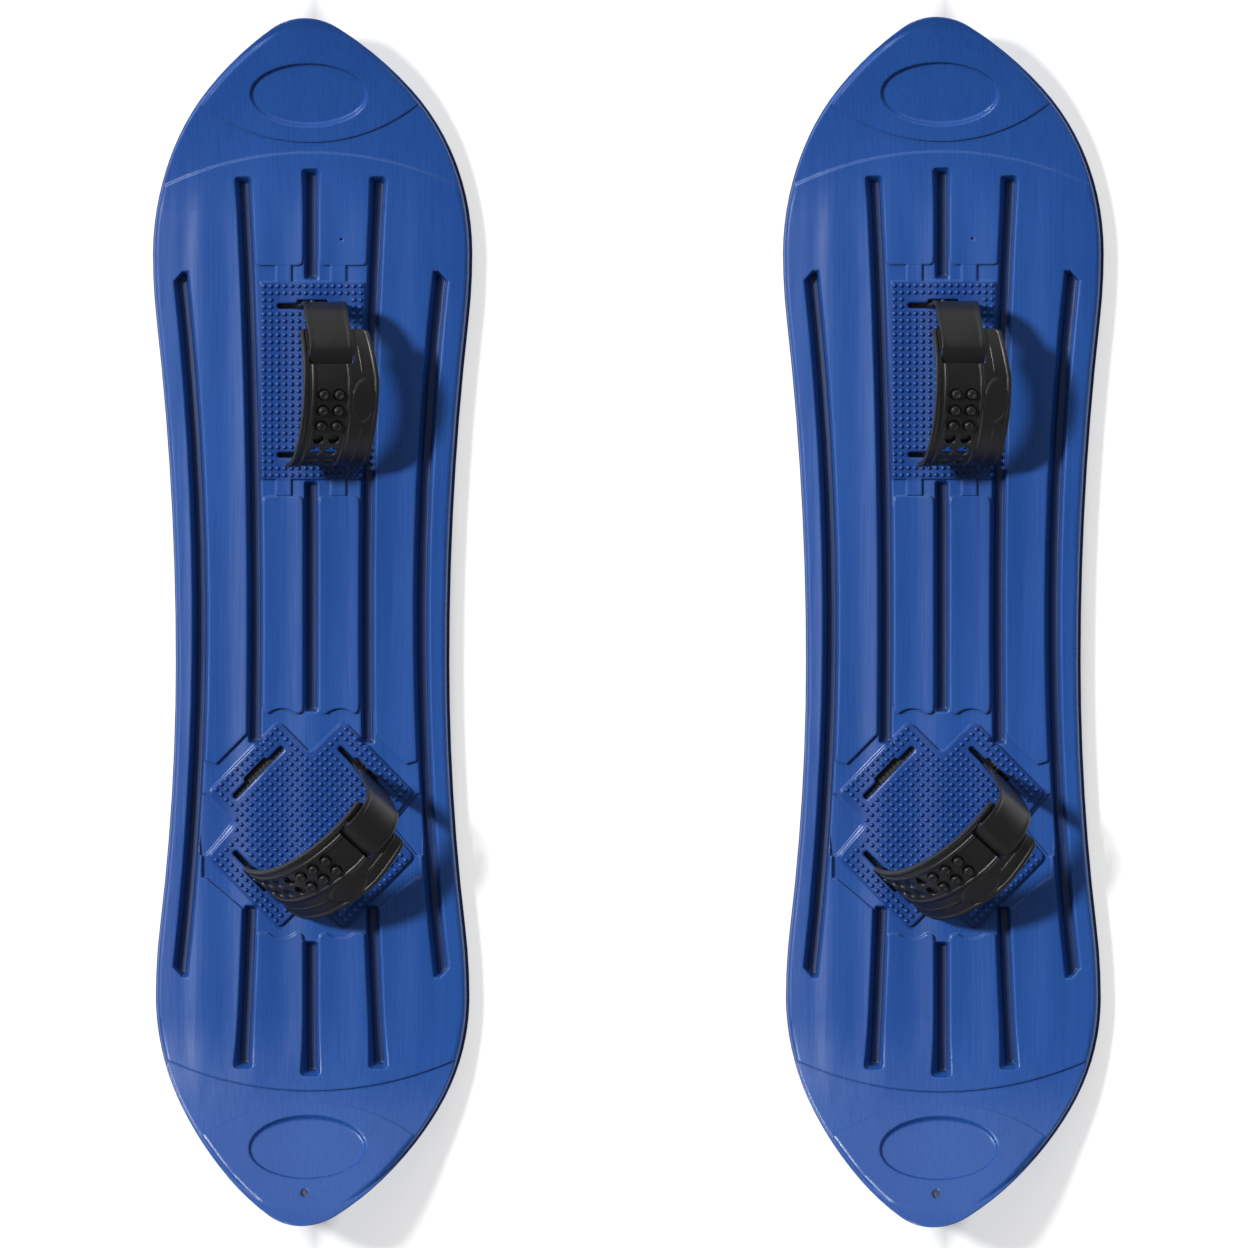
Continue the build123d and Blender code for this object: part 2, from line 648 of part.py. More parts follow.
def make_narrow_strap(line):
    """Narrow strap of a hoop, whose pegs come up through the wide strap's first rows of holes."""
    left_edge = NARROW_LEG_EDGE + [(NARROW_HALF - drift, z) for drift, z in NARROW_DRIFT]
    right_edge = NARROW_LEG_EDGE + [(NARROW_HALF + drift, z) for drift, z in NARROW_DRIFT]
    with BuildPart() as strap:
        extrude(narrow_side_view(line), amount=WIDE_HALF + 5, both=True)
        extrude(front_view(left_edge, right_edge), amount=HALF_BLOCK, both=True, mode=Mode.INTERSECT)
        with Locations((0, HALF_SPAN, 0)):
            Cylinder(ANCHOR_RADIUS, ANCHOR_LENGTH, rotation=(90, 0, 0))
        for row in range(PEG_ROWS):
            for column in (-0.5, 0.5):
                place = hoop_frame(line, FIRST_ROW - row * ROW_PITCH, -LAP_OFFSET)
                add(peg.part.moved(place * Location((COLUMN_OFFSET + column * COLUMN_PITCH, 0, 0))))
    return strap.part


# ---------------------------------------------------------------- slot plug
with BuildPart() as slot_plug:
    extrude(slot_outline(Plane.XY.offset(PLUG_BOTTOM), PLUG_GAP), amount=PLUG_TOP - PLUG_BOTTOM)
    for rib in range(PLUG_RIBS):
        x = (rib - 0.5 * (PLUG_RIBS - 1)) * PLUG_RIB_PITCH
        with Locations((x, 0, PLUG_TOP)):
            Box(*PLUG_RIB_GAP, mode=Mode.SUBTRACT)


# ---------------------------------------------------------------- the pair
def hoop_place(pad_x, pad_y, span_angle, lean):
    """Where a hoop stands: its pivot's middle, its span's direction and its lean at rest."""
    upright = Location((pad_x, pad_y, PIVOT_Z), (0, 0, span_angle - 90.0))
    return upright * Location((0, 0, 0), (0, lean, 0))


REAR_HOOP = hoop_place(REAR_PAD_X, REAR_PAD_Y, 90.0, REAR_LEAN)
FRONT_HOOP = hoop_place(FRONT_PAD_X, FRONT_PAD_Y, FRONT_SPAN_ANGLE, FRONT_LEAN)
SLOTS = slot_frames()
MIDDLE_Y = -0.5 * (TAIL_TIP + NOSE_TIP)
PIECES = [
    ("board", board.part, Location()),
    ("rear_wide_strap", make_wide_strap(REAR_LINE), REAR_HOOP),
    ("rear_narrow_strap", make_narrow_strap(REAR_LINE), REAR_HOOP),
    ("front_wide_strap", make_wide_strap(FRONT_LINE), FRONT_HOOP),
    ("front_narrow_strap", make_narrow_strap(FRONT_LINE), FRONT_HOOP),
    ("slot_plug_tail", slot_plug.part, SLOTS[4]),
    ("slot_plug_nose", slot_plug.part, SLOTS[5]),
]

for side, board_x in (("left", -0.5 * BOARD_SPACING), ("right", 0.5 * BOARD_SPACING)):
    for name, piece, place in PIECES:
        with BuildPart() as placed:
            with Locations(Location((board_x, MIDDLE_Y, 0)) * place):
                add(piece)
        placed.part.label = f"{side}_{name}"
        export_step(placed.part, f"parts/{side}_{name}.step")
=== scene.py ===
import json
from math import acos, atan2, ceil, cos, hypot, inf, pi, radians, sin, sqrt

import bmesh
import bpy
import numpy as np
from mathutils import Matrix, Vector


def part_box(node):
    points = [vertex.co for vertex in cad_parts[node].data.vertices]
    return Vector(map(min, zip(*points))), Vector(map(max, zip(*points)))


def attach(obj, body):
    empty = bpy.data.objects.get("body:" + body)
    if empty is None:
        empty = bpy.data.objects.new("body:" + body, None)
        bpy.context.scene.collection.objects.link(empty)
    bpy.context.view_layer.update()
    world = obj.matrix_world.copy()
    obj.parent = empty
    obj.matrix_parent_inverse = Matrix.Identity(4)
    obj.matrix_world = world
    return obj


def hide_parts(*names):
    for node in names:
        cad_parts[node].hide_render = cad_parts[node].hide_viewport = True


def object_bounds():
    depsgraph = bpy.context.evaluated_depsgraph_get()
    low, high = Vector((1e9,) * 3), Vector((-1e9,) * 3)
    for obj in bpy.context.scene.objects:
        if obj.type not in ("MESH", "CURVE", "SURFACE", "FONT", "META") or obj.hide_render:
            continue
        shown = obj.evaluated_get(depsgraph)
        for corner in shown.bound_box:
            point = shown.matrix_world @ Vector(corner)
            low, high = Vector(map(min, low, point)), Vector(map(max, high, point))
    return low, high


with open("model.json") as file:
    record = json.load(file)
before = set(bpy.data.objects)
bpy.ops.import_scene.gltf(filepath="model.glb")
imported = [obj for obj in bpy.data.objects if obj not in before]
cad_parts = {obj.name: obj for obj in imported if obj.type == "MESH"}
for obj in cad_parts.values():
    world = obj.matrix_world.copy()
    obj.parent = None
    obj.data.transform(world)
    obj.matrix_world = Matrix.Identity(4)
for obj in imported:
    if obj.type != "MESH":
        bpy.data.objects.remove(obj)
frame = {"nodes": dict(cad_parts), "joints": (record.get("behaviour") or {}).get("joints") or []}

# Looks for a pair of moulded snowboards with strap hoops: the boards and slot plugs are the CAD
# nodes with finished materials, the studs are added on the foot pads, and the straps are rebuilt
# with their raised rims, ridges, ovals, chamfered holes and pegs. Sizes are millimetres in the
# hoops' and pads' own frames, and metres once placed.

MM = 0.001
CAD_LOW, CAD_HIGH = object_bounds()
JOINTS = {joint["name"]: joint for joint in frame["joints"]}
SIDES = ("left", "right")

# ------------------------------------------------------------ sizes shared with the CAD, mm
HALF_SPAN = 58.0
BAND = 3.0
NARROW_BAND = 2.6
LAP_OFFSET = 3.15
ROOT_BOTTOM = -5.0
ROOT_TOP = 15.5
ROOT_RADIUS = 7.0
BULGE_RADIUS = 12.0
WIDE_HALF = 30.5
WIDE_RIGHT_EDGE = [(8, -5), (14, 0), (18, 6), (18.3, 18), (25.5, 30), (30.5, 45)]
WIDE_END_RIGHT = 24.5
WIDE_END_TAPER = 38.0
WIDE_END_CORNERS = (1.5, 4.0)
NARROW_HALF = 17.5
NARROW_LEG_EDGE = [(8, -5), (14, 0), (15, 6), (15, 20)]
NARROW_DRIFT = [(-3.9, 45), (-7.9, 65)]
HOLE_RADIUS = 4.4
PEG_RADIUS = 3.95
PEG_HEIGHT = 7.3
COLUMN_OFFSET = -7.9
COLUMN_PITCH = 12.5
HOLE_ROWS = 7
PEG_ROWS = 3
LAP_SLOT_LENGTH = 12.0
LAP_SLOT_HALF = 18.2
LAP_RUN = 7.0
LEANS = {"rear": 24.0, "front": 33.0}

# Each hoop's line in its own upright view: the crown arc's centre across and up, its radius, then
# how far the wide and the narrow leg stand outside their slots and the arcs that join the crown.
LINES = {
    "rear": (0.0, 6.0, 74.6, (7.57, 36.0), (1.5, 26.0)),
    "front": (20.8, 1.6, 87.8, (0.0, 72.1), (1.5, 24.0)),
}

# Lengths along the wide strap's line, from its root on the pivot axis.
FIRST_ROW = 112.0
ROW_PITCH = 12.6
LAP_SLOT = 141.5
WIDE_END = 164.3
NARROW_END = 69.0

ANCHOR_RADIUS = 4.0
ANCHOR_LENGTH = 16.0
SLOT_LENGTH = 55.0
SLOT_WIDTH = 4.0
SLOT_BULGE_LENGTH = 23.0
SLOT_BULGE = 3.0
DECK = 18.0
FRONT_PAD_OUTLINE = [
    (0.0, 55.5), (25.6, 81.0), (81.0, 25.0), (59.5, 0.0), (81.0, -25.0), (25.6, -81.0),
    (0.0, -55.5), (-25.6, -81.0), (-81.0, -25.0), (-59.5, 0.0), (-81.0, 25.0), (-25.6, 81.0),
]
GROOVE_PITCH = 43.6
REAR_PAD_Y = 187.5
REAR_PAD_HALVES = (41.0, 77.0)
FRONT_PAD_Y = -158.6
FRONT_PAD_HALVES = (75.0, 39.5)

# ------------------------------------------------------------ sizes of the finer detail, mm
REAR_STUD_PITCH = 5.46
REAR_STUD_COLUMNS = 15
REAR_STUD_ROWS = 28
FRONT_STUD_PITCH = 7.85
STUD_RADIUS = 1.85
STUD_HEIGHT = 2.1
STUD_FOOT = 0.4
STUD_RINGS = 4
STUD_FLAT = 0.6
REAR_SLOT_GAP = 2.9
FRONT_SLOT_GAP = 2.5
SLOT_END_GAP = 2.2
SLOT_BULGE_EASE = 0.8
STUD_EDGE_GAP = 2.7

# The wide strap's left edge, whose shoulder stands 2 to 3 mm above the CAD's to clear the studs.
WIDE_LEFT_EDGE = [(8, -5), (14, 0), (18, 6), (18, 20.5), (30.5, 28.5)]
WIDE_LEG_LENGTH = 70.0
WIDE_TAPER_FROM = 100.0
WIDE_EDGE_WINDOW = 5.0
NARROW_LEG_LENGTH = 90.0
NARROW_EDGE_WINDOW = 9.0
NARROW_END_ROUND = 5.0

# Ridges are (centre across the strap, half width, height), and the rims lie along both edges.
WIDE_RIM = 2.6
WIDE_RIM_RIDGE = (29.8, 2.0, 1.0)
WIDE_RIDGES = [(-22.9, 1.5, 0.9), (7.1, 1.5, 0.9)]
WING_RIDGE = (18.4, 1.1, 0.55)
WIDE_RELIEF_START = (23.0, 34.0)
WIDE_RELIEF_END = 2.0
NARROW_RIM = 3.0
NARROW_RIM_RIDGE = (16.5, 2.1, 0.7)
NARROW_CROWN = 0.3
NARROW_RELIEF_START = (9.0, 21.0)
NARROW_RELIEF_END = (92.0, 100.0)

# The channel between the wide strap's ridges, and the raised oval on its wing with its moat.
CHANNEL_EDGES = (-21.3, 5.5)
CHANNEL_SLOPE = 0.7
CHANNEL_DEPTH = 0.35
OVAL_ACROSS = 18.2
OVAL_ALONG = 107.3
OVAL_HALVES = (9.6, 17.5)
OVAL_HEIGHT = 0.75
OVAL_SLOPE = 0.13
OVAL_MOAT = (1.06, 0.09, 0.25)
OVAL_CLEARING = (19.0, 24.0)

# Places per strap line: about so far apart on arcs, up the legs and over the crown.
ARC_STEP = 1.3
LEG_STEP = 1.4
LEAST_STRAIGHT = 0.3
CROWN_STEP = 1.2
BAND_CORNER = 0.32
BAND_CUT = 0.3

# How much wider than its hole the hole cutter is, and its height over the strap's middle.
HOLE_EASES = [(1.1, -2.4), (0.4, -1.5), (0.0, -1.0), (0.0, 0.4), (0.2, 0.8), (0.7, 1.2), (1.3, 1.9)]
LAP_SLOT_CORNER = 2.5
CORNER_STEPS = 5
ANCHOR_CHAMFER = 0.6

# The peg's waist as (narrower by, height), its rounded rim, and its dimple as (radius, depth).
PEG_WAIST = [(0.0, 0.0), (0.25, 3.2), (0.2, 4.2), (0.0, 4.9)]
PEG_RIM = 1.5
PEG_RIM_STEPS = 6
PEG_DIMPLE = [(1.7, 0.35), (1.1, 0.8), (0.25, 0.95)]

# The deck's slight crown per metre, and the dish between grooves with where it fades out.
DECK_CROWN = 0.5
DISH_DEPTH = 0.65
DISH_FADE_Y = (280.0, 380.0)
DISH_FADE_X = (88.0, 108.0)
DISH_FADE_Z = (8.0, 12.0)
# Heights in mm over which painted shade fades out, from the groove floors up.
GROOVE_SHADE_Z = (DECK - 8.2, DECK - 3.0)
PAD_MASK_FADE = (-0.5, 1.5)


# ------------------------------------------------------------ node material helpers
def add_node(tree, kind, inputs=None, **settings):
    """Add a shader node, with its settings, and its inputs given as values or as sockets."""
    made = tree.nodes.new("ShaderNode" + kind)
    for key, value in settings.items():
        setattr(made, key, value)
    for key, value in (inputs or {}).items():
        socket = made.inputs[key]
        if isinstance(value, bpy.types.NodeSocket):
            tree.links.new(value, socket)
        else:
            socket.default_value = value
    return made


def maths(tree, operation, *values):
    return add_node(tree, "Math", dict(enumerate(values)), operation=operation).outputs[0]


def map_range(tree, value, low, high, to_low, to_high, kind="SMOOTHSTEP"):
    inputs = {"Value": value, "From Min": low, "From Max": high, "To Min": to_low, "To Max": to_high}
    return add_node(tree, "MapRange", inputs, interpolation_type=kind).outputs["Result"]


def noise(tree, place, stretch, detail=2.0, roughness=0.5):
    """Noise of the place in metres, with so many cells to the metre along each axis."""
    scaled = add_node(tree, "VectorMath", {0: place, 1: stretch}, operation="MULTIPLY").outputs[0]
    inputs = {"Vector": scaled, "Scale": 1.0, "Detail": detail, "Roughness": roughness}
    return add_node(tree, "TexNoise", inputs).outputs[0]


def mix_colour(tree, share, first, second):
    inputs = {0: share, 6: first, 7: second}
    return add_node(tree, "Mix", inputs, data_type="RGBA").outputs[2]


def start_material(name, centre=(0.0, 0.0, 0.0)):
    """A new node material, and the place of the shaded point measured from centre, in metres."""
    material = bpy.data.materials.new(name)
    material.use_nodes = True
    tree = material.node_tree
    tree.nodes.clear()
    coordinates = add_node(tree, "TexCoord").outputs["Object"]
    place = add_node(tree, "VectorMath", {0: coordinates, 1: centre}, operation="SUBTRACT").outputs[0]
    return material, tree, place


def separate(tree, place):
    """The three coordinates of a place."""
    return add_node(tree, "SeparateXYZ", {0: place}).outputs


def rounded_normal(tree, radius):
    """The normal of the surface as if its edges were rounded by a radius in mm."""
    return add_node(tree, "Bevel", {"Radius": radius * MM}, samples=6).outputs[0]


def edge_mask(tree, rounded):
    """1 on an edge, where the rounded normal leaves the surface's own, and 0 on a flat."""
    flat = add_node(tree, "NewGeometry").outputs["Normal"]
    same = add_node(tree, "VectorMath", {0: rounded, 1: flat}, operation="DOT_PRODUCT").outputs["Value"]
    return map_range(tree, same, 1.0, 0.86, 0.0, 1.0)


def finish_material(tree, height, normal, shader):
    """Bump by a height in metres over the normal, into the principled shader with its inputs."""
    inputs = {"Height": height, "Strength": 1.0, "Distance": 1.0, "Normal": normal}
    bump = add_node(tree, "Bump", inputs).outputs[0]
    principled = add_node(tree, "BsdfPrincipled", {**shader, "Normal": bump})
    output = add_node(tree, "OutputMaterial")
    tree.links.new(principled.outputs[0], output.inputs["Surface"])


# ------------------------------------------------------------ materials
BLUE = (0.0165, 0.083, 0.335, 1.0)
BLUE_DEEP = (0.0115, 0.067, 0.295, 1.0)
# Paler blue for the real scratches and for painted highlights on edges and stud tops.
BLUE_SCRATCH_AND_HIGHLIGHT = (0.050, 0.135, 0.420, 1.0)
# Painted shade, laid into grooves, low parts and the studs.
BLUE_SHADE = (0.0085, 0.016, 0.060, 1.0)
# Painted shade for the pads, as if shaded between their studs.
BLUE_PAD_SHADE = (0.0065, 0.047, 0.235, 1.0)
BLACK = (0.0110, 0.0100, 0.0108, 1.0)
BLACK_WORN = (0.042, 0.038, 0.037, 1.0)


def box_mask(tree, first, half_first, second, half_second):
    """1 where both values are within their half widths of 0, in mm, and 0 outside."""
    mask = 1.0
    fade_in, fade_out = PAD_MASK_FADE
    for value, half in ((first, half_first), (second, half_second)):
        away = maths(tree, "ABSOLUTE", value)
        near = map_range(tree, away, (half + fade_in) * MM, (half + fade_out) * MM, 1.0, 0.0)
        mask = maths(tree, "MULTIPLY", near, mask)
    return mask


def pads_mask(tree, parts):
    """1 on the rear pad's rectangle and on the front pad's diagonal cross, and 0 outside them."""
    x, y = parts[0], maths(tree, "SUBTRACT", parts[1], FRONT_PAD_Y * MM)
    rising = maths(tree, "MULTIPLY", maths(tree, "ADD", x, y), sqrt(0.5))
    falling = maths(tree, "MULTIPLY", maths(tree, "SUBTRACT", x, y), sqrt(0.5))
    long_half, short_half = FRONT_PAD_HALVES
    front = maths(tree, "MAXIMUM", box_mask(tree, rising, long_half, falling, short_half),
                  box_mask(tree, rising, short_half, falling, long_half))
    along = maths(tree, "SUBTRACT", parts[1], REAR_PAD_Y * MM)
    rear_width, rear_length = REAR_PAD_HALVES
    return maths(tree, "MAXIMUM", front, box_mask(tree, x, rear_width, along, rear_length))


def within(tree, value, fade, inside_value=1.0):
    """The inside value up to the start of a fade in mm, and 0 beyond its end, on both sides of 0."""
    start, end = fade
    return map_range(tree, maths(tree, "ABSOLUTE", value), start * MM, end * MM, inside_value, 0.0)


def deck_height(tree, parts):
    """Metres of height on the deck: a slight crown, and lands that dish between the grooves."""
    wave = maths(tree, "COSINE", maths(tree, "MULTIPLY", parts[0], 2 * pi / (GROOVE_PITCH * MM)))
    dish = maths(tree, "MULTIPLY", wave, within(tree, parts[1], DISH_FADE_Y, DISH_DEPTH * MM))
    dish = maths(tree, "MULTIPLY", dish, within(tree, parts[0], DISH_FADE_X))
    low, high = DISH_FADE_Z
    dish = maths(tree, "MULTIPLY", dish, map_range(tree, parts[2], low * MM, high * MM, 0.0, 1.0))
    crown = maths(tree, "MULTIPLY", maths(tree, "MULTIPLY", parts[0], parts[0]), -DECK_CROWN)
    return maths(tree, "ADD", dish, crown)


def board_colour(tree, place, parts, streaks, clouds, edges):
    """Streaked and clouded blue, paler on scratches; painted highlights on edges, painted shade on pads
    and in grooves.
    """
    scratches = noise(tree, place, (260.0, 7.0, 260.0), detail=5.0, roughness=0.75)
    tone = maths(tree, "MULTIPLY_ADD", streaks, 0.35, maths(tree, "MULTIPLY", clouds, 0.65))
    body = mix_colour(tree, map_range(tree, tone, 0.36, 0.64, 0.0, 1.0), BLUE_DEEP, BLUE)
    marks = map_range(tree, scratches, 0.66, 0.76, 0.0, 0.28)
    # Painted highlight: edges are drawn paler where the rounded normal turns, together with the real
    # scratches.
    pale = maths(tree, "MAXIMUM", maths(tree, "MULTIPLY", edges, 0.4), marks)
    # Painted shade: the pads are drawn a deeper blue, as if shaded between their studs.
    pad_shade = maths(tree, "MULTIPLY", pads_mask(tree, parts), 0.85)
    skin = mix_colour(tree, pad_shade, mix_colour(tree, pale, body, BLUE_SCRATCH_AND_HIGHLIGHT), BLUE_PAD_SHADE)
    # Painted shade: the lower a point lies, the more it is drawn towards the shade colour, in the grooves
    # and on the board's sides.
    floor, top = GROOVE_SHADE_Z
    return mix_colour(tree, map_range(tree, parts[2], floor * MM, top * MM, 0.78, 0.0), skin, BLUE_SHADE)


def board_material(name, centre):
    """Blow-moulded blue plastic: lengthwise flow streaks, sunken lands, painted edge highlights and
    painted shade.
    """
    material, tree, place = start_material(name, centre)
    streaks = noise(tree, place, (520.0, 14.0, 300.0), detail=3.0, roughness=0.6)
    fine = noise(tree, place, (1500.0, 90.0, 900.0), detail=2.0)
    clouds = noise(tree, place, (11.0, 4.0, 11.0), detail=3.0)
    grain = noise(tree, place, (1900.0, 1900.0, 1900.0), detail=2.0)
    rounded = rounded_normal(tree, 2.2)
    parts = separate(tree, place)
    colour = board_colour(tree, place, parts, streaks, clouds, edge_mask(tree, rounded))
    gloss = maths(tree, "MULTIPLY_ADD", streaks, 0.10, maths(tree, "MULTIPLY_ADD", grain, 0.08, 0.19))

    height = deck_height(tree, parts)
    for layer, depth in ((streaks, 0.025), (clouds, 1.6), (fine, 0.012), (grain, 0.008)):
        height = maths(tree, "MULTIPLY_ADD", layer, depth * MM, height)
    finish_material(tree, height, rounded, {"Base Color": colour, "Roughness": gloss, "IOR": 1.46})
    return material


def stud_material(name, centre):
    """The same plastic on the studs, a little darkened by painted shade, with a painted highlight paling
    their tops.
    """
    material, tree, place = start_material(name, centre)
    clouds = noise(tree, place, (60.0, 60.0, 60.0), detail=2.0)
    grain = noise(tree, place, (2200.0, 2200.0, 2200.0), detail=2.0)
    low, high = (DECK + 0.5 * STUD_HEIGHT) * MM, (DECK + STUD_HEIGHT) * MM
    # Painted highlight: the upper half of each stud is drawn paler.
    top_highlight = map_range(tree, separate(tree, place)[2], low, high, 0.0, 0.16)
    body = mix_colour(tree, map_range(tree, clouds, 0.35, 0.65, 0.0, 1.0), BLUE_DEEP, BLUE)
    # Painted shade: the studs' blue is drawn a little darker.
    body = mix_colour(tree, 0.10, body, BLUE_SHADE)
    colour = mix_colour(tree, top_highlight, body, BLUE_SCRATCH_AND_HIGHLIGHT)
    gloss = maths(tree, "MULTIPLY_ADD", grain, 0.1, 0.3)
    height = maths(tree, "MULTIPLY", grain, 0.01 * MM)
    shader = {"Base Color": colour, "Roughness": gloss, "IOR": 1.46}
    finish_material(tree, height, rounded_normal(tree, 0.4), shader)
    return material


def strap_material(name):
    """Black flexible strap plastic: satin skin with fine grain, edges drawn paler, rubbed scuffs and faint
    dust.
    """
    material, tree, place = start_material(name)
    patches = noise(tree, place, (55.0, 55.0, 55.0), detail=3.0)
    grain = noise(tree, place, (2600.0, 2600.0, 2600.0), detail=2.0)
    dust = noise(tree, place, (900.0, 900.0, 900.0), detail=4.0, roughness=0.7)
    scuffs = noise(tree, place, (420.0, 160.0, 420.0), detail=5.0, roughness=0.7)
    rounded = rounded_normal(tree, 0.5)
    # Edges are drawn paler where the rounded normal turns.
    paler_edges = maths(tree, "MULTIPLY", edge_mask(tree, rounded), 0.35)
    specks = map_range(tree, dust, 0.70, 0.76, 0.0, 0.5)
    rubbed = map_range(tree, scuffs, 0.58, 0.80, 0.0, 0.35)
    share = maths(tree, "MAXIMUM", maths(tree, "MAXIMUM", paler_edges, specks), rubbed)
    colour = mix_colour(tree, share, BLACK, BLACK_WORN)
    gloss = maths(tree, "MULTIPLY_ADD", patches, 0.22, maths(tree, "MULTIPLY_ADD", grain, 0.1, 0.27))
    height = maths(tree, "MULTIPLY_ADD", grain, 0.02 * MM, maths(tree, "MULTIPLY", patches, 0.35 * MM))
    finish_material(tree, height, rounded, {"Base Color": colour, "Roughness": gloss, "IOR": 1.5})
    return material


def plug_material(name):
    """Matte black plug plastic with dust between its ribs."""
    material, tree, place = start_material(name)
    grain = noise(tree, place, (1800.0, 1800.0, 1800.0), detail=3.0)
    patches = noise(tree, place, (140.0, 140.0, 140.0), detail=2.0)
    rounded = rounded_normal(tree, 0.3)
    paler_edges = maths(tree, "MULTIPLY", edge_mask(tree, rounded), 0.4)
    dusty = map_range(tree, patches, 0.45, 0.75, 0.0, 0.3)
    colour = mix_colour(tree, maths(tree, "MAXIMUM", dusty, paler_edges), BLACK, BLACK_WORN)
    gloss = maths(tree, "MULTIPLY_ADD", grain, 0.15, 0.38)
    height = maths(tree, "MULTIPLY", grain, 0.02 * MM)
    finish_material(tree, height, rounded, {"Base Color": colour, "Roughness": gloss, "IOR": 1.48})
    return material


# ------------------------------------------------------------ meshes
def make_object(name, points, faces, material, sharp_angle=32.0):
    """A mesh object of points in metres, smooth except along edges sharper than the angle."""
    mesh = bpy.data.meshes.new(name)
    mesh.from_pydata([tuple(point) for point in points], [], faces)
    mesh.validate()
    mesh.update()
    mesh.materials.append(material)
    smooth(mesh, sharp_angle)
    made = bpy.data.objects.new(name, mesh)
    bpy.context.scene.collection.objects.link(made)
    return made


def smooth(mesh, sharp_angle):
    mesh.polygons.foreach_set("use_smooth", [True] * len(mesh.polygons))
    mesh.set_sharp_from_angle(angle=radians(sharp_angle))
    mesh.update()


def revolve(profile, segments):
    """Points and faces of a closed solid from a profile of (radius, height), bottom to top."""
    points, faces = [], []
    for radius, height in profile:
        for turn in range(segments):
            angle = 2 * pi * turn / segments
            points.append((radius * cos(angle), radius * sin(angle), height))
    for ring in range(len(profile) - 1):
        for turn in range(segments):
            nearer = ring * segments + turn
            beside = ring * segments + (turn + 1) % segments
            faces.append((nearer, beside, beside + segments, nearer + segments))
    faces.append(tuple(reversed(range(segments))))
    faces.append(tuple(range((len(profile) - 1) * segments, len(profile) * segments)))
    return points, faces


def repeat(shape, places):
    """Points and faces of the same solid moved to every place."""
    points, faces = [], []
    for place in places:
        start = len(points)
        points += [place @ Vector(point) for point in shape[0]]
        faces += [tuple(start + corner for corner in face) for face in shape[1]]
    return points, faces


# ------------------------------------------------------------ studs on the foot pads
def inside(point, outline):
    """Whether the point is inside the outline, and how far it is from the outline's nearest edge."""
    x, y = point
    enclosed, nearest = False, inf
    for (x0, y0), (x1, y1) in zip(outline, outline[1:] + outline[:1]):
        if (y0 > y) != (y1 > y) and x < x0 + (y - y0) * (x1 - x0) / (y1 - y0):
            enclosed = not enclosed
        share = ((x - x0) * (x1 - x0) + (y - y0) * (y1 - y0)) / ((x1 - x0) ** 2 + (y1 - y0) ** 2)
        share = min(1.0, max(0.0, share))
        nearest = min(nearest, hypot(x - x0 - share * (x1 - x0), y - y0 - share * (y1 - y0)))
    return enclosed, nearest


def clear_of_slots(point, angles, gap):
    """Whether a stud at the point stays clear of the strap slots at those angles round the pad."""
    for angle in angles:
        along = -point[0] * sin(angle) + point[1] * cos(angle)
        out = point[0] * cos(angle) + point[1] * sin(angle) - HALF_SPAN
        if abs(along) < 0.5 * SLOT_LENGTH + SLOT_END_GAP and abs(out) < 0.5 * SLOT_WIDTH + gap:
            return False
        near_bulge = abs(along) < 0.5 * SLOT_BULGE_LENGTH + gap
        if near_bulge and 0 < out < 0.5 * SLOT_WIDTH + SLOT_BULGE + gap - SLOT_BULGE_EASE:
            return False
    return True


def rear_stud_points():
    """Places of the rear pad's studs from the pad's middle, in square rows."""
    points = []
    for row in range(REAR_STUD_ROWS):
        for column in range(REAR_STUD_COLUMNS):
            x = (column - 0.5 * (REAR_STUD_COLUMNS - 1)) * REAR_STUD_PITCH
            y = (row - 0.5 * (REAR_STUD_ROWS - 1)) * REAR_STUD_PITCH
            if clear_of_slots((x, y), (0.5 * pi, -0.5 * pi), REAR_SLOT_GAP):
                points.append((x, y))
    return points


def front_stud_points(span_angle):
    """Places of the front pad's studs from the pad's middle, in staggered rows."""
    slots = (span_angle, span_angle + pi, pi - span_angle, -span_angle)
    half = 0.5 * FRONT_STUD_PITCH
    reach = max(max(corner) for corner in FRONT_PAD_OUTLINE)
    rows, columns = ceil(reach / half), ceil(reach / FRONT_STUD_PITCH)
    points = []
    for row in range(-rows, rows + 1):
        for column in range(-columns, columns + 1):
            point = ((2 * column + row % 2) * half, row * half)
            on_pad, nearest = inside(point, FRONT_PAD_OUTLINE)
            if on_pad and nearest > STUD_EDGE_GAP and clear_of_slots(point, slots, FRONT_SLOT_GAP):
                points.append(point)
    return points


def stud():
    """A domed stud with a small flat on top, whose foot is sunk a little into the deck."""
    profile = [(STUD_RADIUS * MM, -STUD_FOOT * MM), (STUD_RADIUS * MM, 0.0)]
    for step in range(1, STUD_RINGS + 1):
        angle = radians(90 * step / (STUD_RINGS + STUD_FLAT))
        profile.append((STUD_RADIUS * cos(angle) ** 0.9 * MM, STUD_HEIGHT * sin(angle) * MM))
    return revolve(profile, segments=12)


# ------------------------------------------------------------ strap hoops
# A hoop's own frame has its origin at the middle of its pivot, x across the strap's width, y
# along the span from the wide strap's slot to the narrow one's, and z up.
def arc(centre, radius, start, stop):
    """Points along an arc in the y-z plane, without its first point."""
    count = max(2, ceil(radius * abs(stop - start) / ARC_STEP))
    angles = np.linspace(start, stop, count + 1)[1:]
    return [(centre[0] + radius * cos(a), centre[1] + radius * sin(a)) for a in angles]


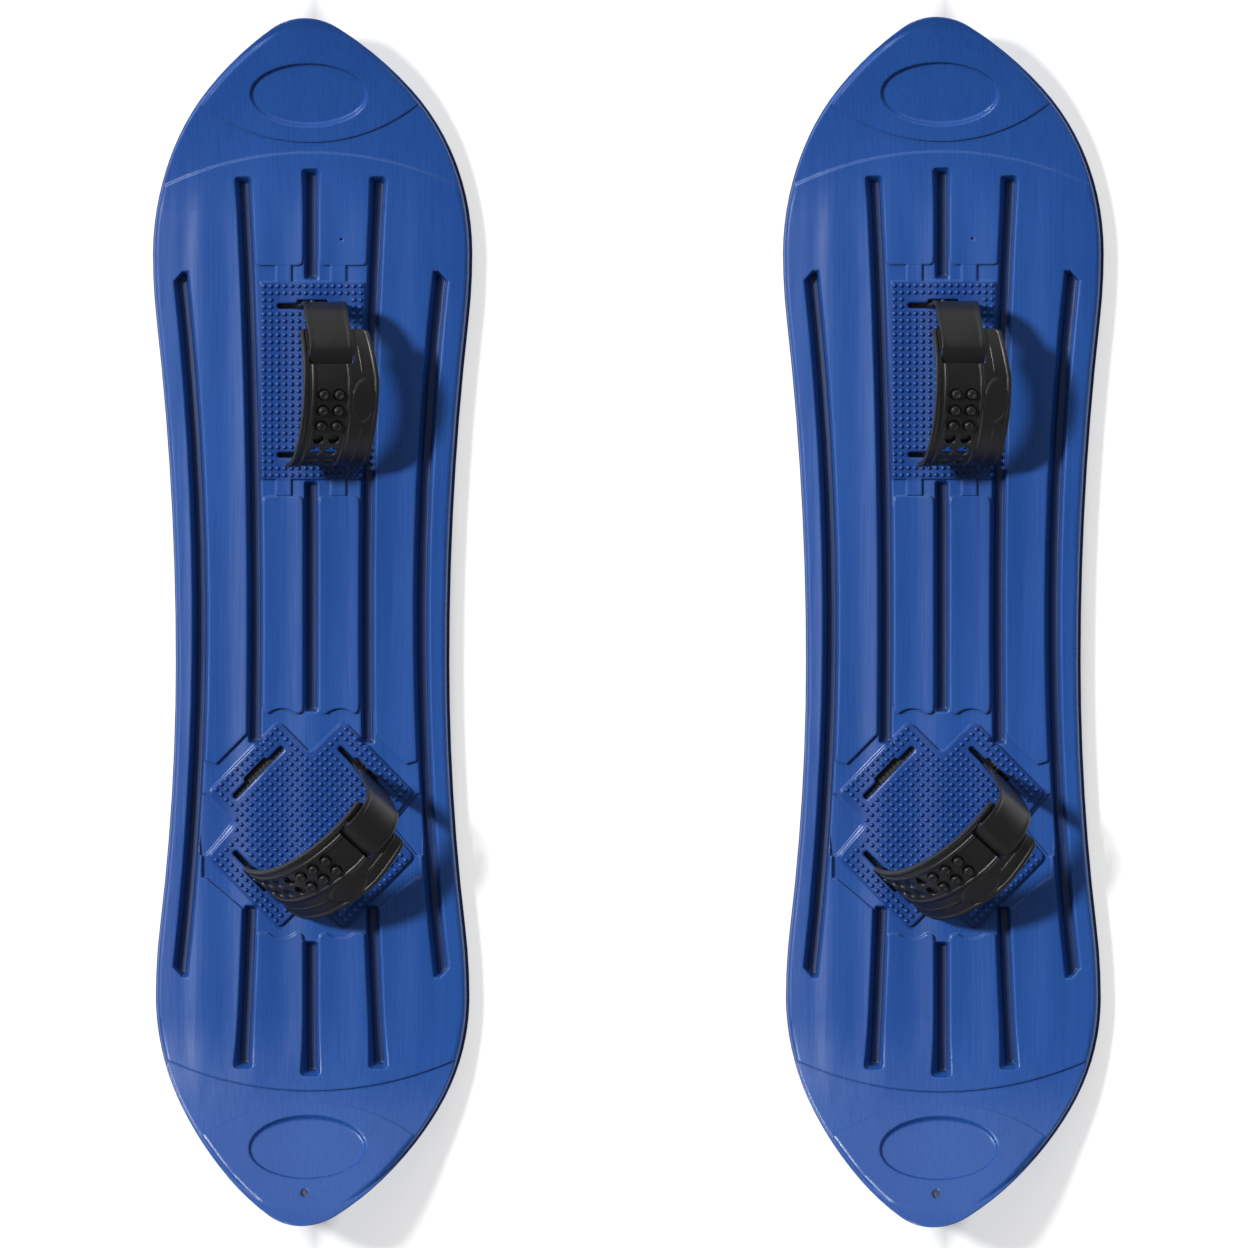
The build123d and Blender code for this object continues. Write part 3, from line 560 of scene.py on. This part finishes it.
def side_arc(line, side, lift=0.0):
    """Centre, radius and turn of the arc between a leg and the crown; side is -1 for the wide leg."""
    crown_y, crown_z, crown_radius, wide_leg, narrow_leg = line
    outward, radius = wide_leg if side < 0 else narrow_leg
    across = HALF_SPAN + outward - radius - side * crown_y
    up = sqrt((crown_radius + lift - radius) ** 2 - across * across)
    return side * across + crown_y, crown_z + up, radius, atan2(up, across)


def root_turn(line, side):
    """How far a leg turns outwards and back above its root."""
    outward = line[3][0] if side < 0 else line[4][0]
    return acos(1 - outward / (ROOT_RADIUS + BULGE_RADIUS))


def crown_start(line):
    """Length along the wide strap's line at which its side arc begins, and at which its crown does."""
    centre_y, centre_z, radius, turn = side_arc(line, -1)
    bend = root_turn(line, -1)
    start = centre_z + (ROOT_RADIUS + BULGE_RADIUS) * (bend - sin(bend))
    return start, start + radius * turn


def hoop_point(line, length, lift=0.0):
    """Place on the wide strap's line at a length from its root, and its angle; lift is outward."""
    centre_y, centre_z, radius, turn = side_arc(line, -1)
    side_start, top_start = crown_start(line)
    angle = pi - (length - side_start) / radius
    if length > top_start:
        centre_y, centre_z, radius = line[:3]
        angle = pi - turn - (length - top_start) / radius
        limit = side_arc(line, 1, LAP_OFFSET)[3]
        if angle < limit:
            beyond = (limit - angle) * radius
            centre_y, centre_z, radius, turn = side_arc(line, 1, LAP_OFFSET)
            radius -= LAP_OFFSET
            angle = limit - beyond / radius
    return centre_y + (radius + lift) * cos(angle), centre_z + (radius + lift) * sin(angle), angle


def straight_up(y, low, high):
    """Points straight up at y between two heights, without the first point."""
    count = ceil((high - low) / LEG_STEP)
    return [(y, height) for height in np.linspace(low, high, count + 1)[1:]]


def leg_line(line, side, lift=0.0):
    """Centre line of a leg, from its anchor up to where the side's arc meets the crown."""
    centre_y, centre_z, radius, turn = side_arc(line, side, lift)
    bend = root_turn(line, side)
    points = [(HALF_SPAN, ROOT_BOTTOM)] + straight_up(HALF_SPAN, ROOT_BOTTOM, ROOT_TOP)
    if bend:
        root = (HALF_SPAN + ROOT_RADIUS, ROOT_TOP)
        reach = ROOT_RADIUS + BULGE_RADIUS
        bulge = (root[0] - reach * cos(bend), ROOT_TOP + reach * sin(bend))
        points += arc(root, ROOT_RADIUS, pi, pi - bend)
        points += arc(bulge, BULGE_RADIUS, -bend, 0.0)
    y, z = points[-1]
    if centre_z - z > LEAST_STRAIGHT:
        points += straight_up(y, z, centre_z)
    points += arc((side * centre_y, centre_z), radius, 0.0, turn)
    return [(side * y, z) for y, z in points]


def wide_line(line):
    """The wide strap's centre line, from its anchor to its end beyond the crown."""
    start = crown_start(line)[1]
    count = ceil((WIDE_END - start) / CROWN_STEP)
    over = [hoop_point(line, length)[:2] for length in np.linspace(start, WIDE_END, count + 1)[1:]]
    return leg_line(line, -1) + over


def narrow_line(line):
    """The narrow strap's centre line: over the wide strap's end, down through its slot and under it."""
    top = side_arc(line, 1, LAP_OFFSET)[3]
    start = crown_start(line)[1] + (pi - side_arc(line, -1)[3] - top) * line[2]
    count = ceil((start - NARROW_END) / CROWN_STEP)
    lengths = np.linspace(start, NARROW_END, count + 1)[1:]
    return leg_line(line, 1, LAP_OFFSET) + [hoop_point(line, l, lap_lift(l))[:2] for l in lengths]


def smoothstep(value, low, high):
    share = np.clip((value - low) / (high - low), 0.0, 1.0)
    return share * share * (3 - 2 * share)


def lap_lift(length):
    """The narrow strap's height over the hoop's line: above the wide strap, then under it."""
    return LAP_OFFSET * (2 * float(smoothstep(length, LAP_SLOT - LAP_RUN, LAP_SLOT + LAP_RUN)) - 1)


def measured(line):
    """Points, outward normals and lengths along a line that runs from the anchor over the crown."""
    points = np.array(line)
    along = np.gradient(points, axis=0)
    along /= np.linalg.norm(along, axis=1)[:, None]
    out = 1 if points[0, 0] > 0 else -1
    normals = out * np.stack([along[:, 1], -along[:, 0]], axis=1)
    steps = np.linalg.norm(np.diff(points, axis=0), axis=1)
    return points, normals, np.concatenate([[0.0], np.cumsum(steps)]) + ROOT_BOTTOM


def softened(values, lengths, window):
    """Values along a line, averaged over a window so that their corners turn smooth."""
    step = 0.25
    fine = np.arange(lengths[0] - window, lengths[-1] + window, step)
    dense = np.interp(fine, lengths, values)
    kernel = np.hanning(int(window / step) + 2)
    smoothed = np.convolve(dense, kernel / kernel.sum(), mode="same")
    return np.interp(lengths, fine, smoothed)


def bumps(across, ridges):
    """Rounded ridges across the width, each (centre, half width, height)."""
    total = np.zeros_like(across)
    for centre, half, height in ridges:
        share = np.clip(1 - np.abs(across - centre) / half, 0.0, 1.0)
        total = np.maximum(total, height * np.sqrt(share * (2 - share)))
    return total


def band(columns, half, thickness, line, edges, relief):
    """Loft a strap along its line. Columns are places across its full width, at +-half; edges gives
    its real left and right edge at each station, and relief the height of its outer face."""
    points, normals, lengths = measured(line)
    left, right = edges(points, lengths)
    corner = BAND_CORNER * thickness
    cut_in = BAND_CUT * corner
    outer = 0.5 * thickness
    rows = []
    for (y, z), (ny, nz), low, high, length in zip(points, normals, left, right, lengths):
        across = low + corner + (columns + half) * (high - low - 2 * corner) / (2 * half)
        heights = relief(columns, length, across)
        row = [(x, outer + rise) for x, rise in zip(across, heights)]
        row += [(high - cut_in, outer - cut_in + heights[-1]), (high, outer - corner)]
        row += [(high, corner - outer), (high - cut_in, cut_in - outer)]
        row += [(x, -outer) for x in across[::-4]]
        row += [(low + cut_in, cut_in - outer), (low, corner - outer)]
        row += [(low, outer - corner), (low + cut_in, outer - cut_in + heights[0])]
        rows.append([(x, y + ny * lift, z + nz * lift) for x, lift in row])
    size = len(rows[0])
    faces = []
    for station in range(len(rows) - 1):
        for place in range(size):
            nearer = station * size + place
            beside = station * size + (place + 1) % size
            faces.append((nearer, nearer + size, beside + size, beside))
    faces.append(tuple(range(size)))
    faces.append(tuple(reversed(range((len(rows) - 1) * size, len(rows) * size))))
    return [point for row in rows for point in row], faces


def hoop_place(line, length, lift, across):
    """Place on the wide strap's line at a length from its root, with z outward, as a matrix in mm."""
    y, z, angle = hoop_point(line, length, lift)
    return Matrix.Translation((across, y, z)) @ Matrix.Rotation(angle - 0.5 * pi, 4, "X")


def solid(shape):
    """A bmesh of points and faces with its normals turned outward."""
    made = bmesh.new()
    corners = [made.verts.new(point) for point in shape[0]]
    for face in shape[1]:
        made.faces.new([corners[corner] for corner in face])
    bmesh.ops.dissolve_degenerate(made, dist=1e-4, edges=made.edges)
    bmesh.ops.recalc_face_normals(made, faces=made.faces)
    return made


def as_mesh(name, shape):
    mesh = bpy.data.meshes.new(name)
    made = solid(shape)
    made.to_mesh(mesh)
    made.free()
    return mesh


def cut(mesh, cutter, operation="DIFFERENCE"):
    """The mesh with the cutter's solids taken out of it, or joined to it."""
    body = bpy.data.objects.new("cut_body", mesh)
    tool = bpy.data.objects.new("cut_tool", cutter)
    for thing in (body, tool):
        bpy.context.scene.collection.objects.link(thing)
    change = body.modifiers.new("cut", "BOOLEAN")
    change.object = tool
    change.operation = operation
    change.solver = "EXACT"
    bpy.context.view_layer.update()
    result = bpy.data.meshes.new_from_object(body.evaluated_get(bpy.context.evaluated_depsgraph_get()))
    for thing in (body, tool):
        bpy.data.objects.remove(thing)
    return result


def edge_at(heights, corners):
    """Distance of an edge from the strap's middle at those heights, from (distance, height) corners."""
    return np.interp(heights, [z for x, z in corners], [x for x, z in corners])


def rounded_end(lengths, radius):
    """How far an edge draws in at each length so that its end corner is round."""
    into = np.clip(radius - (lengths[-1] - lengths), 0.0, radius)
    return radius - np.sqrt(radius * radius - into * into)


def wide_edges(points, lengths):
    """The wide strap's left and right edges: narrow in its slot, shouldered out, tapered at its end."""
    heights, spans = points[:, 1], points[:, 0]
    rising = lengths < WIDE_LEG_LENGTH
    left = np.where(rising, edge_at(heights, WIDE_LEFT_EDGE), WIDE_HALF)
    right = np.where(rising, edge_at(heights, WIDE_RIGHT_EDGE), WIDE_HALF)
    end = spans[-1]
    taper = np.interp(spans, [end - WIDE_END_TAPER, end], [WIDE_HALF, WIDE_END_RIGHT])
    right = np.where(lengths > WIDE_TAPER_FROM, np.minimum(right, taper), right)
    left, right = (softened(edge, lengths, WIDE_EDGE_WINDOW) for edge in (left, right))
    left_corner, right_corner = (rounded_end(lengths, radius) for radius in WIDE_END_CORNERS)
    return left_corner - left, right - right_corner


def wide_relief(columns, length, across):
    """Outer face of the wide strap: rims, the ridges of its channel, the wing's ridge and its oval."""
    rim = bumps(np.abs(columns), [WIDE_RIM_RIDGE])
    ridges = bumps(columns, WIDE_RIDGES)
    half_width, half_length = OVAL_HALVES
    radial = np.hypot((across - OVAL_ACROSS) / half_width, (length - OVAL_ALONG) / half_length)
    boss = OVAL_HEIGHT * smoothstep(1.0 - radial, 0.0, OVAL_SLOPE)
    moat = -bumps(radial, [OVAL_MOAT])
    wing = bumps(columns, [WING_RIDGE]) * float(smoothstep(abs(length - OVAL_ALONG), *OVAL_CLEARING))
    rises = [smoothstep(columns, edge - CHANNEL_SLOPE, edge + CHANNEL_SLOPE) for edge in CHANNEL_EDGES]
    channel = -CHANNEL_DEPTH * rises[0] * (1 - rises[1])
    total = np.maximum.reduce([rim, ridges, boss, wing]) + channel + moat
    fade_in = float(smoothstep(length, *WIDE_RELIEF_START))
    return total * fade_in * float(smoothstep(WIDE_END - length, 0.0, WIDE_RELIEF_END))


def narrow_edges(points, lengths):
    """The narrow strap's edges; it drifts sideways to lie over the peg columns."""
    heights = np.where(lengths < NARROW_LEG_LENGTH, points[:, 1], NARROW_DRIFT[-1][1])
    draw_in = rounded_end(lengths, NARROW_END_ROUND)
    edges = []
    for side in (-1, 1):
        corners = NARROW_LEG_EDGE + [(NARROW_HALF + side * drift, z) for drift, z in NARROW_DRIFT]
        edges.append(side * (softened(edge_at(heights, corners), lengths, NARROW_EDGE_WINDOW) - draw_in))
    return edges


def narrow_relief(columns, length, across):
    """Outer face of the narrow strap: a raised rim along each edge and a faintly crowned middle."""
    rim = bumps(np.abs(columns), [NARROW_RIM_RIDGE])
    middle = NARROW_CROWN * (1 - (columns / NARROW_HALF) ** 2)
    fade_in = float(smoothstep(length, *NARROW_RELIEF_START))
    return np.maximum(rim, middle) * fade_in * (1 - float(smoothstep(length, *NARROW_RELIEF_END)))


def columns_for(half, ridges, rim):
    """Places across a strap, close together on its rims and ridges and wider apart between."""
    places = set(np.round(np.arange(-half, half + 0.01, 1.0), 3))
    for centre, width in ridges:
        places |= set(np.round(centre + width * np.linspace(-1.0, 1.0, 9), 3))
    for side in (-1, 1):
        places |= set(np.round(side * (half - rim * np.linspace(0.0, 1.1, 9)), 3))
    ordered = []
    for place in sorted(places):
        if abs(place) <= half and (not ordered or place - ordered[-1] > 0.18):
            ordered.append(place)
    return np.array(ordered)


def hole_cutter():
    """Spool-shaped cutter for a peg hole, which eases both of the hole's edges."""
    return revolve([(HOLE_RADIUS + wider, height) for wider, height in HOLE_EASES], segments=32)


def slot_cutter():
    """Cutter for the crosswise slot that the narrow strap passes through, with rounded ends."""
    middle_x, middle_y = LAP_SLOT_HALF - LAP_SLOT_CORNER, 0.5 * LAP_SLOT_LENGTH - LAP_SLOT_CORNER
    outline = []
    for side_x, side_y, start in ((1, 1, 0), (-1, 1, 90), (-1, -1, 180), (1, -1, 270)):
        for step in range(CORNER_STEPS + 1):
            angle = radians(start + 90 * step / CORNER_STEPS)
            outline.append((side_x * middle_x + LAP_SLOT_CORNER * cos(angle),
                            side_y * middle_y + LAP_SLOT_CORNER * sin(angle)))
    count = len(outline)
    points = [(x, y, z) for z in (-2 * BAND, 2 * BAND) for x, y in outline]
    faces = [(i, (i + 1) % count, (i + 1) % count + count, i + count) for i in range(count)]
    return points, faces + [tuple(reversed(range(count))), tuple(range(count, 2 * count))]


def peg():
    """A peg with a rounded rim and a shallow dimple, as on a press stud, waisted in its hole."""
    profile = [(PEG_RADIUS - narrower, height) for narrower, height in PEG_WAIST]
    shoulder = PEG_WAIST[-1][1]
    for step in range(1, PEG_RIM_STEPS + 1):
        angle = radians(90 * step / PEG_RIM_STEPS)
        radius = PEG_RADIUS - PEG_RIM + PEG_RIM * cos(angle)
        profile.append((radius, shoulder + (PEG_HEIGHT - shoulder) * sin(angle)))
    profile += [(radius, PEG_HEIGHT - depth) for radius, depth in PEG_DIMPLE]
    return revolve(profile, segments=28)


def anchor(side):
    """The round bar at a strap's foot, on which it rocks in its slot."""
    end, tip = 0.5 * ANCHOR_LENGTH, ANCHOR_RADIUS - ANCHOR_CHAMFER
    start = end - ANCHOR_CHAMFER
    profile = [(tip, -end), (ANCHOR_RADIUS, -start), (ANCHOR_RADIUS, start), (tip, end)]
    turn = Matrix.Translation((0, side * HALF_SPAN, 0)) @ Matrix.Rotation(radians(90), 4, "X")
    return repeat(revolve(profile, segments=32), [turn])


def peg_places(line, rows, lift):
    """Places of the first rows of pegs or holes, two to a row."""
    places = []
    for row in range(rows):
        for column in (-0.5, 0.5):
            across = COLUMN_OFFSET + column * COLUMN_PITCH
            places.append(hoop_place(line, FIRST_ROW - row * ROW_PITCH, lift, across))
    return places


def wide_strap_mesh(line):
    """The wide strap, with its peg holes, its crosswise slot and its anchor."""
    ridges = [ridge[:2] for ridge in WIDE_RIDGES + [WING_RIDGE]]
    ridges += [(edge, CHANNEL_SLOPE + 0.1) for edge in CHANNEL_EDGES]
    columns = columns_for(WIDE_HALF, ridges, WIDE_RIM)
    shape = band(columns, WIDE_HALF, BAND, wide_line(line), wide_edges, wide_relief)
    mesh = as_mesh("wide_band", shape)
    holes = repeat(hole_cutter(), peg_places(line, HOLE_ROWS, 0.0))
    mesh = cut(mesh, as_mesh("holes", holes))
    slot = repeat(slot_cutter(), [hoop_place(line, LAP_SLOT, 0.0, COLUMN_OFFSET)])
    mesh = cut(mesh, as_mesh("slot", slot))
    return cut(mesh, as_mesh("anchor", anchor(-1)), "UNION")


def narrow_strap_mesh(line):
    """The narrow strap, with its pegs and its anchor."""
    columns = columns_for(NARROW_HALF, [], NARROW_RIM)
    shape = band(columns, NARROW_HALF, NARROW_BAND, narrow_line(line), narrow_edges, narrow_relief)
    mesh = as_mesh("narrow_band", shape)
    mesh = cut(mesh, as_mesh("pegs", repeat(peg(), peg_places(line, PEG_ROWS, -LAP_OFFSET))), "UNION")
    return cut(mesh, as_mesh("anchor", anchor(1)), "UNION")


# ------------------------------------------------------------ building the pair
def hoop_matrix(side, end):
    """From the hoop's own frame in mm to the row's frame in metres, at the hoop's rest lean."""
    joint = JOINTS[f"{side}_{end}_hoop_lean"]
    span_angle = atan2(joint["axis"][1], joint["axis"][0])
    upright = Matrix.Translation(joint["pos_m"]) @ Matrix.Rotation(span_angle - 0.5 * pi, 4, "Z")
    return upright @ Matrix.Rotation(radians(LEANS[end]), 4, "Y") @ Matrix.Scale(MM, 4), span_angle


def place_strap(name, mesh, matrix, material, body):
    """A strap's own copy of the mesh, in its place, instead of the CAD's strap."""
    own = mesh.copy()
    own.name = name
    own.transform(matrix)
    own.materials.clear()
    own.materials.append(material)
    smooth(own, 34.0)
    piece = bpy.data.objects.new(name, own)
    bpy.context.scene.collection.objects.link(piece)
    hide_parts(body)
    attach(piece, body)


def place_studs(name, places, centre, side, material):
    """All of a pad's studs as one piece, from their places round the pad's centre in mm."""
    matrices = [Matrix.Translation((centre[0] + x * MM, centre[1] + y * MM, DECK * MM)) for x, y in places]
    points, faces = repeat(stud(), matrices)
    piece = make_object(name, points, faces, material, 50.0)
    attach(piece, f"{side}_board")


def board_centre(side):
    low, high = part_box(f"{side}_board")
    return (0.5 * (low.x + high.x), 0.5 * (low.y + high.y), 0.0)


def dress(node, material):
    """Give a CAD node its finished material."""
    materials = frame["nodes"][node].data.materials
    materials.clear()
    materials.append(material)


strap_black = strap_material("strap_black")
plug_black = plug_material("plug_black")
strap_meshes = {}
for end, line in LINES.items():
    strap_meshes[end] = {"wide": wide_strap_mesh(line), "narrow": narrow_strap_mesh(line)}
for side in SIDES:
    middle = board_centre(side)
    dress(f"{side}_board", board_material(f"{side}_board_blue", middle))
    stud_blue = stud_material(f"{side}_stud_blue", middle)
    for end in ("rear", "front"):
        matrix, angle = hoop_matrix(side, end)
        for width, mesh in strap_meshes[end].items():
            body = f"{side}_{end}_{width}_strap"
            place_strap(f"{body}_shaped", mesh, matrix, strap_black, body)
        studs = rear_stud_points() if end == "rear" else front_stud_points(angle)
        place_studs(f"{side}_{end}_studs", studs, matrix.translation, side, stud_blue)
    for end in ("tail", "nose"):
        dress(f"{side}_slot_plug_{end}", plug_black)

# ------------------------------------------------------------ floor, light and camera, in metres
VIEW_TILT = 8.0
VIEW_WIDTH = 1.3 * (CAD_HIGH.x - CAD_LOW.x)
LENS = 1200.0
SENSOR = 36.0
AIM = Vector((-0.0027, -0.0016, 0.009))
FLOOR_HALF = 40.0
FLOOR_DROP = 0.0002
FLOOR_GREYS = ((0.46, 0.46, 0.46, 1.0), (0.48, 0.48, 0.48, 1.0))
WHITE = (1.0, 1.0, 1.0, 1.0)

# The floor's glow, which fades out under the boards: how far to each side, where their outline
# starts to narrow along them, and how fast it does.
FLOOR_GLOW = 0.62
GLOW_FADE = (0.080, 0.116)
GLOW_STRAIGHT = 0.30
GLOW_TAPER = 0.55

# Suns as compass direction (0 is +Y, 90 is +X), elevation, strength and spread.
KEY_SUN = (-68.0, 50.0, 3.2, 8.0)
FILL_SUN = (0.0, 36.0, 0.8, 60.0)


def floor_glow(tree, place):
    """The glow's strength: full on the open floor, and none under the boards."""
    parts = separate(tree, place)
    board_x = board_centre("right")[0]
    beside = maths(tree, "ABSOLUTE", maths(tree, "SUBTRACT", maths(tree, "ABSOLUTE", parts[0]), board_x))
    along = maths(tree, "SUBTRACT", maths(tree, "ABSOLUTE", parts[1]), GLOW_STRAIGHT)
    away = maths(tree, "MULTIPLY_ADD", maths(tree, "MAXIMUM", along, 0.0), GLOW_TAPER, beside)
    return map_range(tree, away, *GLOW_FADE, 0.0, FLOOR_GLOW)


def floor_material():
    """Pale, faintly mottled studio floor with a glow that keeps it near white."""
    material, tree, place = start_material("floor_pale")
    mottle = noise(tree, place, (3.0, 3.0, 3.0), detail=4.0)
    height = maths(tree, "MULTIPLY", mottle, 0.02 * MM)
    normal = add_node(tree, "NewGeometry").outputs["Normal"]
    shader = {"Base Color": mix_colour(tree, mottle, *FLOOR_GREYS), "Roughness": 0.9}
    shader.update({"Emission Color": WHITE, "Emission Strength": floor_glow(tree, place)})
    finish_material(tree, height, normal, shader)
    return material


def make_floor():
    """A wide flat floor, a hair below the running surfaces."""
    quarters = ((-1, -1), (1, -1), (1, 1), (-1, 1))
    corners = [(x * FLOOR_HALF, y * FLOOR_HALF, -FLOOR_DROP) for x, y in quarters]
    make_object("floor", corners, [(0, 1, 2, 3)], floor_material())


def make_world():
    """Plain studio surroundings: a soft even fill, seen pale."""
    world = bpy.data.worlds.new("studio")
    bpy.context.scene.world = world
    world.use_nodes = True
    tree = world.node_tree
    tree.nodes.clear()
    seen = add_node(tree, "LightPath").outputs["Is Camera Ray"]
    fill = add_node(tree, "Background", {"Color": WHITE, "Strength": 0.15}).outputs[0]
    pale = add_node(tree, "Background", {"Color": WHITE, "Strength": 0.95}).outputs[0]
    both = add_node(tree, "MixShader", {0: seen, 1: fill, 2: pale}).outputs[0]
    tree.links.new(both, add_node(tree, "OutputWorld").inputs["Surface"])


def make_sun(name, azimuth, elevation, strength, spread):
    """A distant soft light from a compass direction and an elevation, in degrees."""
    light = bpy.data.lights.new(name, "SUN")
    light.energy = strength
    light.angle = radians(spread)
    lamp = bpy.data.objects.new(name, light)
    a, e = radians(azimuth), radians(elevation)
    towards = Vector((sin(a) * cos(e), cos(a) * cos(e), sin(e)))
    lamp.rotation_mode = "QUATERNION"
    lamp.rotation_quaternion = towards.to_track_quat("Z", "Y")
    bpy.context.scene.collection.objects.link(lamp)


def make_camera():
    """Looks down at the pair with +Y up the picture, tilted a little towards +X."""
    data = bpy.data.cameras.new("view")
    data.lens = LENS
    data.sensor_width = SENSOR
    data.clip_start, data.clip_end = 0.1, 100.0
    camera = bpy.data.objects.new("view", data)
    tilt = radians(VIEW_TILT)
    back = Vector((sin(tilt), 0.0, cos(tilt)))
    right = Vector((cos(tilt), 0.0, -sin(tilt)))
    up = Vector((0.0, 1.0, 0.0))
    place = AIM + back * (VIEW_WIDTH * LENS / SENSOR)
    turn = Matrix((right, up, back)).transposed().to_4x4()
    camera.matrix_world = Matrix.Translation(place) @ turn
    bpy.context.scene.collection.objects.link(camera)
    bpy.context.scene.camera = camera


make_floor()
make_world()
make_sun("key", *KEY_SUN)
make_sun("fill", *FILL_SUN)
make_camera()
bpy.context.scene.view_settings.view_transform = "Standard"
